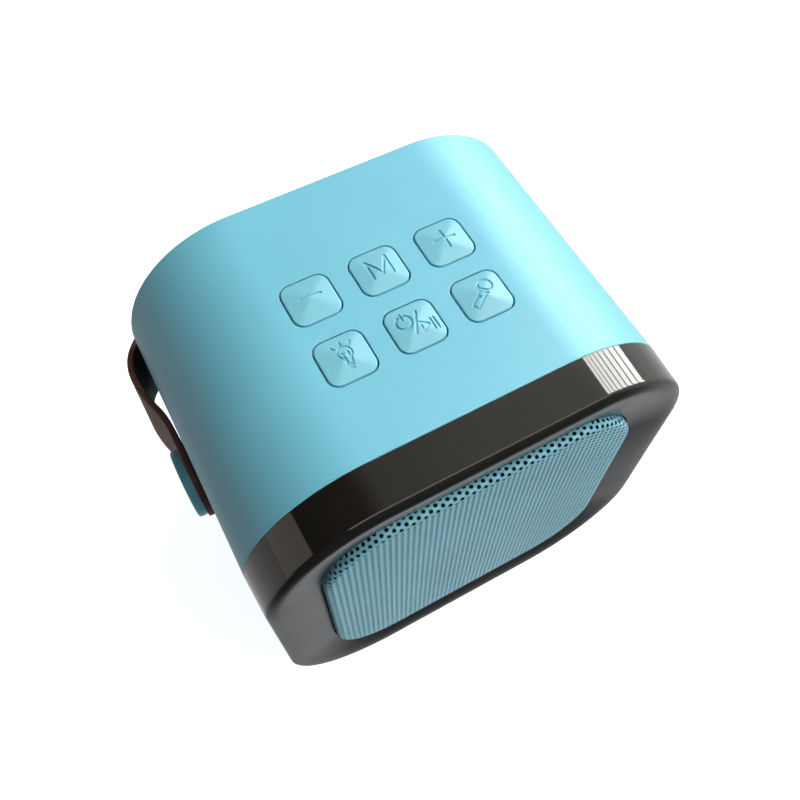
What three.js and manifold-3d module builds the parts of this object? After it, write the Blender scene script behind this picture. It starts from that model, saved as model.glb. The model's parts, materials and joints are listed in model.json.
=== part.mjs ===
// Portable Bluetooth speaker: a rounded-square plastic case with a smoked front bezel, a perforated
// metal grille, six top keys and a leather hand strap. Millimetres, +Z up, the front faces -Y.
// Inside the group, y = 0 is the joint between case and bezel and z = 0 is the underside of the case.
import * as THREE from 'three';
import { mergeVertices } from 'three/addons/utils/BufferGeometryUtils.js';
import Module from 'manifold-3d';

const wasm = await Module();
wasm.setup();

// ---- driving dimensions ---------------------------------------------------------------------
const WIDTH = 104;
const HEIGHT = 103;
const CORNER = 29.2;            // corner radius of the front outline
const DEPTH = 66.9;             // case, from the joint to the rear rim
const BEZEL_DEPTH = 10.65;      // joint to the bezel's crest
const WALL = 2.4;
const GAP = 0.3;                // clearance between neighbouring pieces
const SEAM = 0.15;              // half the visible seam between case and bezel
const FOOT_HEIGHT = 1.5;
const MID = HEIGHT / 2;

const GRILLE_INSET = 13.3;      // bezel opening, from the outer face
const GRILLE_CORNER = 17.4;
const GRILLE_FACE = -10.57;
const GRILLE_THICK = 0.8;

const KEY_PITCH = 15.83;
const KEY_ROW_Y = 30;           // middle of the key block, behind the joint
const KEY_OPENING = 11.3;
const KEY_SIZE = 10.7;
const KEY_CORNER = 2.5;
const KEY_TRAVEL = 0.5;

const COVER_OUT = DEPTH - 1;    // outer face of the rear cover, one millimetre inside the rim
const COVER_THICK = 2.4;
const BAFFLE_FRONT = 3;
const BAFFLE_THICK = 2.6;
const SCREW_POST = 38.5;        // corner screw posts, from the centre line, in x and in z

const STRAP_THICK = 1.55;
const STRAP_LOW = 49.5;
const STRAP_HIGH = 73;
const STRAP_MID = (STRAP_LOW + STRAP_HIGH) / 2;
const STRAP_FACE = WIDTH / 2 + 0.25;    // inner face of the strap where it lies on the side
const BUTTON_Y = 32.4;          // the round button that clamps each end of the strap
const BUTTON_RADIUS = 8.5;
const BUTTON_THICK = 2.2;
const BUTTON_FLOOR = 0.95;      // under the screw's head
const TONGUE_RADIUS = 9.3;      // rounded end of the strap, about the button's middle
const TONGUE_START = 47;        // where the strap begins to narrow towards its end

const THROUGH_HOLE = 1.5;       // radii of the screw holes
const POST_HOLE = 1.3;
const BOARD_HOLE = 1.2;
const BOARD_POST_HOLE = 1.1;
const POST_RADIUS = 3.4;
const POST_WEB = 8;             // block that ties a corner post to the wall, each way
const THROUGH = 1;              // how far a cutter runs past the faces that it opens

const ROUND = 20;               // sides of a turned piece
const CORNER_STEPS = 4;         // divisions of a large corner: its arc gets twice as many flats
const SMALL_STEPS = 2;          // divisions of a small corner

// ---- materials ------------------------------------------------------------------------------
const finish = (color, roughness, metalness = 0) =>
  new THREE.MeshStandardMaterial({ color, roughness, metalness });
const AQUA = finish(0x7fcfe0, 0.5);
const SMOKE = finish(0x37322f, 0.12);
const GRILLE_BLUE = finish(0x7fb4c4, 0.4, 0.3);
const LEATHER = finish(0x5a2d22, 0.6);
const BLACK = finish(0x17181a, 0.6);
const MILKY = finish(0xe9e9e4, 0.4);
const BOARD = finish(0x1f5a3a, 0.5);
const STEEL = finish(0xb9bcc0, 0.3, 1);
const FERRITE = finish(0x2b2b2d, 0.7);
const PAPER = finish(0x222326, 0.8);
const RUBBER = finish(0x1c1c1e, 0.9);
const COPPER = finish(0xb87440, 0.4, 1);
const CELL = finish(0x2f6fb5, 0.45);
const RED_WIRE = finish(0xa02020, 0.5);

// ---- solids ---------------------------------------------------------------------------------
function signedVolume(position, index) {
  const [a, b, c] = [new THREE.Vector3(), new THREE.Vector3(), new THREE.Vector3()];
  let volume = 0;
  for (let i = 0; i < index.count; i += 3) {
    a.fromBufferAttribute(position, index.getX(i));
    b.fromBufferAttribute(position, index.getX(i + 1));
    c.fromBufferAttribute(position, index.getX(i + 2));
    volume += a.dot(b.cross(c)) / 6;
  }
  return volume;
}

// A closed three.js geometry as a manifold solid, with its faces turned outwards.
function solid(geometry) {
  const bare = geometry.clone();
  bare.deleteAttribute('normal');
  bare.deleteAttribute('uv');
  const merged = mergeVertices(bare, 1e-4);
  const triangles = Uint32Array.from(merged.index.array);
  if (signedVolume(merged.attributes.position, merged.index) < 0) {
    for (let i = 0; i < triangles.length; i += 3) {
      [triangles[i], triangles[i + 1]] = [triangles[i + 1], triangles[i]];
    }
  }
  const vertProperties = Float32Array.from(merged.attributes.position.array);
  return new wasm.Manifold(new wasm.Mesh({ numProp: 3, vertProperties, triVerts: triangles }));
}

const join = (first, ...rest) => rest.reduce((sum, next) => sum.add(next), first);
const cut = (first, ...rest) => rest.reduce((left, next) => left.subtract(next), first);

function geometryOf(manifold) {
  const { vertProperties, triVerts } = manifold.getMesh();
  const geometry = new THREE.BufferGeometry();
  geometry.setAttribute('position', new THREE.BufferAttribute(vertProperties, 3));
  geometry.setIndex(new THREE.BufferAttribute(triVerts, 1));
  geometry.computeVertexNormals();
  return geometry;
}

const speaker = new THREE.Group();

function piece(name, shape, material, x = 0, y = 0, z = 0) {
  const geometry = shape instanceof wasm.Manifold ? geometryOf(shape) : geometryOf(solid(shape));
  const mesh = new THREE.Mesh(geometry, material);
  mesh.name = name;
  mesh.position.set(x, y, z);
  speaker.add(mesh);
  return mesh;
}

// ---- outlines and basic forms ---------------------------------------------------------------
function roundedRect(width, height, radius) {
  const [x, y] = [width / 2 - radius, height / 2 - radius];
  const shape = new THREE.Shape();
  shape.absarc(x, y, radius, 0, Math.PI / 2);
  shape.absarc(-x, y, radius, Math.PI / 2, Math.PI);
  shape.absarc(-x, -y, radius, Math.PI, Math.PI * 1.5);
  shape.absarc(x, -y, radius, Math.PI * 1.5, Math.PI * 2);
  shape.closePath();
  return shape;
}

// The case outline moved inwards by inset, drawn in x and z about the case's middle.
const outline = (inset, radius = CORNER - inset) =>
  roundedRect(WIDTH - 2 * inset, HEIGHT - 2 * inset, radius);

const extrude = (shape, depth, curveSegments) =>
  new THREE.ExtrudeGeometry(shape, { depth, bevelEnabled: false, curveSegments });

// A shape drawn in x and z, extruded from y = front to y = rear.
const prismY = (shape, front, rear, steps = CORNER_STEPS) =>
  extrude(shape, rear - front, steps).rotateX(Math.PI / 2).translate(0, rear, 0);

// A prism of the case outline moved inwards by inset, in its place in the case.
const slice = (inset, front, rear, radius) =>
  solid(prismY(outline(inset, radius), front, rear)).translate([0, 0, MID]);

// A shape drawn in x and y, extruded from z = low to z = high.
const prismZ = (shape, low, high, steps = SMALL_STEPS) =>
  extrude(shape, high - low, steps).translate(0, 0, low);

// A block between two opposite corners, given as pairs along x, y and z in either order.
function box(x0, x1, y0, y1, z0, z1) {
  const geometry = new THREE.BoxGeometry(Math.abs(x1 - x0), Math.abs(y1 - y0), Math.abs(z1 - z0));
  return geometry.translate((x0 + x1) / 2, (y0 + y1) / 2, (z0 + z1) / 2);
}

function rodY(radius, front, rear, x = 0, z = 0, sides = 8) {
  const geometry = new THREE.CylinderGeometry(radius, radius, rear - front, sides);
  return geometry.translate(x, (front + rear) / 2, z);
}

function rodZ(radius, low, high, x = 0, y = 0, sides = 8) {
  const geometry = new THREE.CylinderGeometry(radius, radius, high - low, sides);
  return geometry.rotateX(Math.PI / 2).translate(x, y, (low + high) / 2);
}

function rodX(radius, left, right, y, z, sides = ROUND) {
  const geometry = new THREE.CylinderGeometry(radius, radius, right - left, sides);
  return geometry.rotateZ(Math.PI / 2).translate((left + right) / 2, y, z);
}

// A closed profile of [radius, y] points turned about the y axis.
function turned(profile, sides = ROUND) {
  const points = profile.map(([radius, y]) => new THREE.Vector2(radius, y));
  const onAxis = profile[0][0] === 0 && profile.at(-1)[0] === 0;
  if (!onAxis) points.push(points[0].clone());
  return new THREE.LatheGeometry(points, sides);
}

// Rounded-square rings, one per [inset, y, radius], skinned into a closed body. With loop the last
// ring joins the first, which makes a frame; otherwise both ends are capped.
function rings(sections, loop) {
  const loops = sections.map(([inset, y, radius]) => {
    const flat = outline(inset, radius).getPoints(CORNER_STEPS);
    flat.pop();
    return flat.map((point) => [point.x, y, point.y]);
  });
  const count = loops[0].length;
  const positions = loops.flat(2);
  const index = [];
  const spans = loop ? loops.length : loops.length - 1;
  for (let s = 0; s < spans; s += 1) {
    const next = (s + 1) % loops.length;
    for (let i = 0; i < count; i += 1) {
      const j = (i + 1) % count;
      index.push(s * count + i, s * count + j, next * count + j);
      index.push(s * count + i, next * count + j, next * count + i);
    }
  }
  if (!loop) {
    const last = (loops.length - 1) * count;
    for (let i = 1; i < count - 1; i += 1) {
      index.push(0, i + 1, i);
      index.push(last, last + i, last + i + 1);
    }
  }
  const geometry = new THREE.BufferGeometry();
  geometry.setAttribute('position', new THREE.Float32BufferAttribute(positions, 3));
  geometry.setIndex(index);
  return solid(geometry);
}

// A [radius, z] profile turned about the z axis.
const turnedZ = (profile, sides) => solid(turned(profile, sides)).rotate([90, 0, 0]);

// A screw along +Z with its head's underside at z = 0.
const screw = (headRadius, headHeight, shankRadius, length) => turnedZ([
  [0, headHeight], [headRadius * 0.7, headHeight], [headRadius, headHeight * 0.45], [headRadius, 0],
  [shankRadius, 0], [shankRadius, -length], [0, -length],
], 8);

// The four corner positions of a screw pattern, in x and z, and their names.
const CORNERS = [[-1, 1], [1, 1], [-1, -1], [1, -1]];
const cornerName = ([sx, sz]) => `${sz > 0 ? 'top' : 'bottom'}_${sx < 0 ? 'left' : 'right'}`;
const cornerPoint = ([sx, sz], reach = SCREW_POST) => [sx * reach, MID + sz * reach];
const cornerRods = (radius, front, rear, reach = SCREW_POST, sides = 8) => CORNERS.map((corner) =>
  solid(rodY(radius, front, rear, ...cornerPoint(corner, reach), sides)));

// ---- case -----------------------------------------------------------------------------------
const BOARD_THICK = 1.2;
const KEY_BOARD_TOP = HEIGHT - 11.9;
const KEY_BOARD = { width: 62, depth: 30, post: 27.5 };
const FRONT_POST_END = 16;
const REAR_POST_START = 51;
const MAIN_BOARD_Z = 12;
// The first post takes the board's screw; the others only carry the board.
const MAIN_BOARD = { x: 30, front: 31, rear: 63.2, posts: [[0, 34.5], [-25.5, 50], [25.5, 50]] };

const KEYS = [
  ['key_minus', -1, 1], ['key_mode', 0, 1], ['key_plus', 1, 1],
  ['key_light', -1, -1], ['key_power', 0, -1], ['key_mic', 1, -1],
].map(([name, column, row]) => ({ name, x: column * KEY_PITCH, y: KEY_ROW_Y + (row * KEY_PITCH) / 2 }));

function cornerPost([sx, sz], front, rear) {
  const [x, z] = cornerPoint([sx, sz]);
  const web = box(x, x + sx * POST_WEB, front, rear, z, z + sz * POST_WEB);
  const post = join(solid(rodY(POST_RADIUS, front, rear, x, z)), solid(web));
  return cut(post, solid(rodY(POST_HOLE, front - THROUGH, rear + THROUGH, x, z)));
}

function mainShell() {
  const outer = slice(0, SEAM, DEPTH);
  const tube = cut(outer, slice(WALL, -THROUGH, DEPTH + THROUGH));
  const cornerPosts = CORNERS.flatMap((corner) => [
    cornerPost(corner, BAFFLE_FRONT + BAFFLE_THICK + GAP, FRONT_POST_END),
    cornerPost(corner, REAR_POST_START, COVER_OUT - COVER_THICK - GAP),
  ]);
  const keyPosts = [-1, 1].map((side) => {
    const x = side * KEY_BOARD.post;
    const post = solid(rodZ(2.6, KEY_BOARD_TOP, HEIGHT - WALL / 2, x, KEY_ROW_Y));
    const hole = rodZ(BOARD_POST_HOLE, KEY_BOARD_TOP - THROUGH, KEY_BOARD_TOP + 6, x, KEY_ROW_Y);
    return cut(post, solid(hole));
  });
  const floorPosts = MAIN_BOARD.posts.map(([x, y]) => {
    const post = solid(rodZ(2.8, WALL / 2, MAIN_BOARD_Z, x, y));
    const hole = rodZ(BOARD_POST_HOLE, MAIN_BOARD_Z - 7, MAIN_BOARD_Z + THROUGH, x, y);
    return cut(post, solid(hole));
  });
  const body = join(tube, ...cornerPosts, ...keyPosts, ...floorPosts).intersect(outer);
  const opening = roundedRect(KEY_OPENING, KEY_OPENING, KEY_CORNER + GAP);
  const openings = KEYS.map(({ x, y }) =>
    solid(prismZ(opening, HEIGHT - 2 * WALL, HEIGHT + THROUGH)).translate([x, y, 0]));
  const strapHoles = [-1, 1].map((side) => strapHole(side, POST_HOLE));
  return cut(body, ...openings, ...strapHoles);
}

const REAR_SCREW = { head: 2.7, well: 1.3 };
const FOOT_REACH = 18;
const FOOT_FRONT = 10;
const FOOT_REAR = DEPTH - 9;

const PORTS = {
  card: { x: 20, z: MAIN_BOARD_Z + BOARD_THICK + 1.3, width: 14, height: 3, radius: 1 },
  usb: { x: 0, z: MAIN_BOARD_Z + BOARD_THICK + 1.95, width: 10.4, height: 4.6, radius: 2.2 },
  aux: { x: -19, z: MAIN_BOARD_Z + BOARD_THICK + 2.8, width: 6.8, height: 6.8, radius: 3.35 },
};

function rearCover() {
  const plate = slice(WALL + GAP, COVER_OUT - COVER_THICK, COVER_OUT);
  const holes = cornerRods(THROUGH_HOLE, COVER_OUT - COVER_THICK - THROUGH, DEPTH + THROUGH);
  const { head, well } = REAR_SCREW;
  const wells = cornerRods(head + 0.4, COVER_OUT - well, DEPTH + THROUGH, SCREW_POST, 12);
  const ports = Object.values(PORTS).map(({ x, z, width, height, radius }) => {
    const shape = roundedRect(width, height, radius);
    const hole = prismY(shape, COVER_OUT - 2 * COVER_THICK, DEPTH + THROUGH, SMALL_STEPS);
    return solid(hole.translate(x, 0, z));
  });
  return cut(plate, ...holes, ...wells, ...ports);
}

function buildCase() {
  piece('main_shell', mainShell(), AQUA);
  piece('rear_cover', rearCover(), AQUA);
  const rearScrew = screw(REAR_SCREW.head, 1.1, 0.95, 9).rotate([-90, 0, 0]);
  CORNERS.forEach((corner) => {
    const [x, z] = cornerPoint(corner);
    piece(`rear_screw_${cornerName(corner)}`, rearScrew, STEEL, x, COVER_OUT - REAR_SCREW.well + 0.05, z);
  });
  const footProfile = [[0, 0], [4.6, 0], [5, 0.4], [5, FOOT_HEIGHT], [0, FOOT_HEIGHT]];
  const foot = turnedZ(footProfile, 16);
  [[-1, 'left'], [1, 'right']].forEach(([side, sideName]) => {
    [[FOOT_FRONT, 'front'], [FOOT_REAR, 'rear']].forEach(([y, endName]) => {
      piece(`foot_${endName}_${sideName}`, foot, RUBBER, side * FOOT_REACH, y, -FOOT_HEIGHT);
    });
  });
}

// ---- front: bezel, light ring, grille ---------------------------------------------------------
// The lip that centres the bezel in the case: its faces as insets, and where it starts and ends.
const LIP_NEAR = WALL + GAP;
const LIP_FAR = WALL + 1.6;
const LIP_STEP = 1.6;
const LIP_REACH = 2.4;

// A glossy frame: sides with a little draft, a broad round crest, and a border dished to the grille.
function frontBezel() {
  const crest = -BEZEL_DEPTH;
  const frame = rings([
    [0, -SEAM], [0.45, crest + 1.65], [0.6, crest + 1.1], [1.2, crest + 0.5], [2.2, crest + 0.1],
    [3.2, crest], [GRILLE_INSET, crest + 2.1, GRILLE_CORNER],
    [GRILLE_INSET, crest + 3.95, GRILLE_CORNER],
    [WALL, crest + 2.7], [WALL, -LIP_STEP], [LIP_FAR, -LIP_STEP], [LIP_FAR, LIP_REACH],
    [LIP_NEAR, LIP_REACH], [LIP_NEAR, -SEAM],
  ].map(([inset, y, radius = CORNER - inset]) => [inset, y, radius]), true);
  const hook = (across) => {
    const reach = across ? WIDTH / 2 : HEIGHT / 2;
    const [half, tip] = [6, 7.6];
    const leg = box(-half, half, LIP_REACH - 0.9, tip, reach - LIP_FAR, reach - LIP_NEAR);
    const barb = box(-half, half, tip - 1.4, tip, reach - LIP_FAR - 1, reach - LIP_FAR + 0.2);
    return join(solid(leg), solid(barb)).rotate([0, across ? 90 : 0, 0]);
  };
  const hooks = [[false, 0], [false, 180], [true, 0], [true, 180]].map(([across, turn]) =>
    hook(across).rotate([0, turn, 0]).translate([0, 0, MID]));
  return join(frame.translate([0, 0, MID]), ...hooks);
}

function grillePan() {
  const inset = GRILLE_INSET + GAP;
  const radius = GRILLE_CORNER - GAP;
  const outer = rings([
    [inset - 3.2, -5.4, radius + 3.2], [inset - 3.2, -6.2, radius + 3.2], [inset, -6.2, radius],
    [inset, GRILLE_FACE + 1.3, radius], [inset + 0.35, GRILLE_FACE + 0.4, radius - 0.35],
    [inset + 1.3, GRILLE_FACE, radius - 1.3],
  ], false);
  const inner = rings([
    [inset + GRILLE_THICK, -5, radius - GRILLE_THICK],
    [inset + GRILLE_THICK, GRILLE_FACE + 1.4, radius - GRILLE_THICK],
    [inset + 1.6, GRILLE_FACE + GRILLE_THICK, radius - 1.6],
  ], false);
  return cut(outer, inner).translate([0, 0, MID]);
}

function frameRing(near, far, front, rear) {
  const section = [[near, front], [far, front], [far, rear], [near, rear]];
  const sized = section.map(([inset, y]) => [inset, y, CORNER - inset]);
  return rings(sized, true).translate([0, 0, MID]);
}

function baffle() {
  const rear = BAFFLE_FRONT + BAFFLE_THICK;
  const plate = slice(WALL + GAP, BAFFLE_FRONT, rear);
  const headRoom = cornerRods(POST_RADIUS, -6, BAFFLE_FRONT);
  const rim = cut(frameRing(7.2, 8.8, -4.8, BAFFLE_FRONT + 0.5), ...headRoom);
  const mouth = solid(rodY(DRIVER.cutout, BAFFLE_FRONT - THROUGH, rear + THROUGH, 0, MID, 24));
  const cornerHoles = cornerRods(THROUGH_HOLE, BAFFLE_FRONT - THROUGH, rear + THROUGH);
  const driverHoles = cornerRods(1, BAFFLE_FRONT - THROUGH, rear + THROUGH, DRIVER.bolt);
  // Room for the bezel's snap hooks, in the middle of each side.
  const notches = [[1, 0], [-1, 0], [0, 1], [0, -1]].map(([sx, sz]) => {
    const x = sx * (WIDTH / 2 - 4);
    const z = MID + sz * (HEIGHT / 2 - 4);
    const [halfX, halfZ] = sx === 0 ? [7, 1.9] : [1.9, 7];
    return solid(box(x - halfX, x + halfX, 0, rear + 2, z - halfZ, z + halfZ));
  });
  return cut(join(plate, rim), mouth, ...cornerHoles, ...driverHoles, ...notches);
}

function buildFront() {
  piece('front_bezel', frontBezel(), SMOKE);
  piece('light_guide', frameRing(WALL + GAP + 0.2, 5.2, -7.3, -2), MILKY);
  piece('led_ring_board', frameRing(5.6, 6.8, -6.8, -2.4), BOARD);
  piece('grille', grillePan(), GRILLE_BLUE);
  const clothInset = GRILLE_INSET + GAP + GRILLE_THICK + GAP;
  const cloth = slice(clothInset, GRILLE_FACE + 1.5, GRILLE_FACE + 2, GRILLE_CORNER - 1.4);
  piece('grille_cloth', cloth, BLACK);
  piece('baffle', baffle(), BLACK);
  const baffleScrew = screw(2.6, 1.4, 0.95, 9).rotate([90, 0, 0]);
  CORNERS.forEach((corner) => {
    const [x, z] = cornerPoint(corner);
    piece(`baffle_screw_${cornerName(corner)}`, baffleScrew, STEEL, x, BAFFLE_FRONT, z);
  });
}

// ---- loudspeaker ------------------------------------------------------------------------------
const DRIVER = { flange: 33, cutout: 29.6, bolt: 21.6 };
const SPIDER_CLOTH = finish(0xc9a63c, 0.9);

function buildDriver() {
  const place = (name, profile, material) => piece(name, turned(profile), material, 0, 0, MID);
  const basket = solid(turned([
    [26.3, 1], [DRIVER.flange, 1], [DRIVER.flange, 2.7], [29, 2.7], [17.8, 21.6], [17, 24.4], [10.6, 24.4],
    [10.6, 21.9], [12.6, 20.2], [16.6, 20.2],
  ], 24));
  const windows = [45, 135].map((turn) => solid(box(-40, 40, 7, 17, -7, 7)).rotate([0, turn, 0]));
  const bolts = cornerRods(THROUGH_HOLE, 0, 4, DRIVER.bolt).map((hole) => hole.translate([0, 0, -MID]));
  piece('driver_basket', cut(basket, ...windows, ...bolts), BLACK, 0, 0, MID);
  place('driver_magnet', [[12, 24.7], [20, 24.7], [20, 31], [12, 31]], FERRITE);
  place('driver_yoke', [[0, 22.2], [9, 22.2], [9, 31.3], [17, 31.3], [17, 34], [0, 34]], STEEL);
  place('driver_surround', [
    [22.9, 0.2], [23.3, -1], [24.2, -1.8], [25.3, -1.8], [26.2, -1], [26.6, 0.1], [28.1, 0.1],
    [28.1, 0.7], [26.1, 0.7], [25.7, -0.6], [25.1, -1.2], [24.4, -1.2], [23.8, -0.6], [23.5, 0.7],
    [22.9, 0.7],
  ], RUBBER);
  place('driver_spider', [
    [10.9, 18.3], [12.4, 17.7], [13.9, 18.5], [15.4, 18.1], [16.3, 19.3], [16.3, 19.8], [15.2, 18.7],
    [13.9, 19.1], [12.4, 18.3], [10.9, 18.9],
  ], SPIDER_CLOTH);
  place('driver_cone', [[10.5, 16.2], [22.1, 2.6], [22.6, 3.1], [11, 16.8], [10.5, 16.8]], PAPER);
  place('dust_cap', [
    [0, 11.6], [4, 11.9], [8, 13], [11, 15], [10.6, 15.4], [7.7, 13.6], [4, 12.5], [0, 12.2],
  ], BLACK);
  place('voice_coil', [[9.6, 16], [10.1, 16], [10.1, 27], [9.6, 27]], COPPER);
  const driverScrew = screw(2.2, 1.1, 0.8, 3.4).rotate([90, 0, 0]);
  CORNERS.forEach((corner) => {
    const [x, z] = cornerPoint(corner, DRIVER.bolt);
    piece(`driver_screw_${cornerName(corner)}`, driverScrew, STEEL, x, 1, z);
  });
}

// ---- keys -------------------------------------------------------------------------------------
const FLANGE_HALF = 6.5;
const FLANGE_TOP = HEIGHT - WALL - GAP;
const STEM_HALF = 1.6;
const STEM_LOW = HEIGHT - 6;

// A cap with a shallow four-sided pyramid on top, a flange that keeps it in the case, and a stem.
function keyCap() {
  const square = roundedRect(KEY_SIZE, KEY_SIZE, KEY_CORNER);
  const [top, rise] = [HEIGHT + 0.1, 0.55];
  const block = solid(prismZ(square, FLANGE_TOP - 0.7, top));
  const pyramid = new THREE.ConeGeometry(KEY_SIZE * 0.72, rise, 4, 1).rotateX(Math.PI / 2);
  const ridge = solid(pyramid.rotateZ(Math.PI / 4).translate(0, 0, top + rise / 2 - 0.05))
    .intersect(solid(prismZ(square, top - THROUGH, top + THROUGH)));
  const flange = box(-FLANGE_HALF, FLANGE_HALF, -FLANGE_HALF, FLANGE_HALF, FLANGE_TOP - 1, FLANGE_TOP);
  const stem = box(-STEM_HALF, STEM_HALF, -STEM_HALF, STEM_HALF, STEM_LOW, FLANGE_TOP - 0.7);
  return join(block, ridge, solid(flange), solid(stem));
}

function tactSwitch() {
  const body = solid(box(-3, 3, -3, 3, KEY_BOARD_TOP, KEY_BOARD_TOP + 3.4));
  const plunger = solid(rodZ(1.7, KEY_BOARD_TOP + 3, STEM_LOW - KEY_TRAVEL - GAP));
  return join(body, plunger);
}

function buildKeys() {
  const cap = keyCap();
  const tact = tactSwitch();
  KEYS.forEach(({ name, x, y }) => {
    piece(name, cap, AQUA, x, y, 0);
    piece(name.replace('key', 'switch'), tact, BLACK, x, y, 0);
  });
  const { width, depth, post } = KEY_BOARD;
  const low = KEY_BOARD_TOP - BOARD_THICK;
  const board = solid(prismZ(roundedRect(width, depth, 2), low, KEY_BOARD_TOP).translate(0, KEY_ROW_Y, 0));
  const holes = [-1, 1].map((side) =>
    solid(rodZ(BOARD_HOLE, low - THROUGH, KEY_BOARD_TOP + THROUGH, side * post, KEY_ROW_Y)));
  piece('key_board', cut(board, ...holes), BOARD);
  const boardScrew = screw(2.1, 1, 0.8, 5).rotate([180, 0, 0]);
  [[-1, 'left'], [1, 'right']].forEach(([side, name]) => {
    piece(`key_board_screw_${name}`, boardScrew, STEEL, side * post, KEY_ROW_Y, low);
  });
}

// ---- electronics ------------------------------------------------------------------------------
const BATTERY = { radius: 9.2, half: 32.5, y: 18, z: 16 };

function buildElectronics() {
  const top = MAIN_BOARD_Z + BOARD_THICK;
  const { x, front, rear, posts } = MAIN_BOARD;
  const [screwX, screwY] = posts[0];
  const board = solid(box(-x, x, front, rear, MAIN_BOARD_Z, top));
  const hole = solid(rodZ(BOARD_HOLE, MAIN_BOARD_Z - THROUGH, top + THROUGH, screwX, screwY));
  piece('main_board', cut(board, hole), BOARD);
  piece('main_board_screw', screw(2.1, 1, 0.8, 5), STEEL, screwX, screwY, top);

  const { usb, card, aux } = PORTS;
  const mouth = COVER_OUT - 0.7;
  const usbShell = solid(prismY(roundedRect(9, 3.3, 1.5), mouth - 7.3, mouth, SMALL_STEPS));
  const usbHollow = solid(prismY(roundedRect(8.3, 2.6, 1.2), mouth - 6.5, mouth + 1, SMALL_STEPS));
  const tongue = solid(box(-3.3, 3.3, mouth - 7, mouth - 0.6, -0.35, 0.35));
  piece('usb_c_socket', join(cut(usbShell, usbHollow), tongue), STEEL, usb.x, 0, usb.z);
  const cardBody = solid(box(-6.5, 6.5, mouth - 14, mouth, -1.1, 1.1));
  const cardSlot = solid(box(-5.6, 5.6, mouth - 12, mouth + 1, -0.5, 0.5));
  piece('card_socket', cut(cardBody, cardSlot), STEEL, card.x, 0, card.z);
  const auxBlock = solid(box(-3, 3, mouth - 12, COVER_OUT - COVER_THICK - GAP, -2.6, 2.6));
  const auxBarrel = solid(rodY(2.5, mouth - 12, mouth, 0, 0, 12));
  const auxBore = solid(rodY(1.8, mouth - 10, mouth + THROUGH, 0, 0, 10));
  piece('aux_socket', cut(join(auxBlock, auxBarrel), auxBore), BLACK, aux.x, 0, aux.z);

  const { radius, half, y, z } = BATTERY;
  const terminal = solid(rodX(3, half - 2, half, y, z, 10));
  piece('battery', join(solid(rodX(radius, -half, half - 1.4, y, z)), terminal), CELL);
  const cradle = solid(box(-half - 1.8, half + 1.8, y - 10.2, y + 10.2, WALL, z))
    .intersect(slice(WALL + GAP, 0, DEPTH));
  const trough = solid(rodX(radius + GAP, -half - GAP, half + GAP, y, z));
  piece('battery_holder', cut(cradle, trough), BLACK);
}

// A lead: a round section swept along a smooth curve through a few points.
function lead(points, radius) {
  const extrudePath = new THREE.CatmullRomCurve3(points.map((point) => new THREE.Vector3(...point)));
  const section = new THREE.Shape().absarc(0, 0, radius, 0, Math.PI * 2);
  const settings = { steps: 12, curveSegments: 4, bevelEnabled: false, extrudePath };
  return new THREE.ExtrudeGeometry(section, settings);
}

function buildLeads() {
  const top = MAIN_BOARD_Z + BOARD_THICK;
  const route = [[22, 42, top + GAP], [27, 42, 24], [30, 35, 38], [27, 25, 47], [20.6, 20, MID]];
  piece('driver_lead', lead(route, 0.9), RED_WIRE);
}

// ---- strap ------------------------------------------------------------------------------------
// A hole through the side wall for a strap screw.
const strapHole = (side, radius) => {
  const middle = (side * WIDTH) / 2;
  return solid(rodX(radius, middle - 5, middle + 5, BUTTON_Y, STRAP_MID, 8));
};

// The strap's middle line seen from above: flat on the side, out around the rear corner, and across
// the back. The other half mirrors it.
function strapLine() {
  const face = STRAP_FACE + STRAP_THICK / 2;
  const half = [
    [-face, 22], [-face, 32], [-face, 41], [-53.4, 43.6], [-54.2, 46.4], [-55.35, 50.1], [-56.2, 53.9],
    [-56.5, 58], [-55.95, 62], [-54.1, 65.8], [-50.5, 69.4], [-45.5, 72.25], [-37, 75.15], [-20, 78.45],
    [0, 79.5],
  ];
  const mirrored = half.slice(0, -1).reverse().map(([x, y]) => [-x, y]);
  const points = [...half, ...mirrored].map(([x, y]) => new THREE.Vector3(x, y, 0));
  return new THREE.CatmullRomCurve3(points, false, 'centripetal');
}

// The strap seen from the side: full height at the back, narrowing to a round tongue at the button.
function strapSide() {
  const [run, reach] = [TONGUE_START - BUTTON_Y, (STRAP_HIGH - STRAP_LOW) / 2];
  const touch = Math.atan2(reach, run) + Math.acos(TONGUE_RADIUS / Math.hypot(run, reach));
  const shape = new THREE.Shape();
  shape.absarc(0, 0, TONGUE_RADIUS, touch, 2 * Math.PI - touch);
  [[run, -reach], [DEPTH, -reach], [DEPTH, reach], [run, reach]].forEach(([y, z]) => shape.lineTo(y, z));
  shape.closePath();
  const across = extrude(shape, 2 * WIDTH, 8).rotateX(Math.PI / 2).rotateZ(Math.PI / 2);
  return solid(across.translate(-WIDTH, BUTTON_Y, STRAP_MID));
}

function strap() {
  const curve = strapLine();
  const steps = 64;
  const [inner, outer] = [[], []];
  for (let i = 0; i <= steps; i += 1) {
    const point = curve.getPointAt(i / steps);
    const tangent = curve.getTangentAt(i / steps);
    const offset = new THREE.Vector2(-tangent.y, tangent.x).multiplyScalar(STRAP_THICK / 2);
    inner.push(new THREE.Vector2(point.x - offset.x, point.y - offset.y));
    outer.push(new THREE.Vector2(point.x + offset.x, point.y + offset.y));
  }
  const band = solid(prismZ(new THREE.Shape([...inner, ...outer.reverse()]), STRAP_LOW, STRAP_HIGH));
  const holes = [-1, 1].map((side) => strapHole(side, THROUGH_HOLE));
  return cut(band.intersect(strapSide()), ...holes);
}

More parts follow.
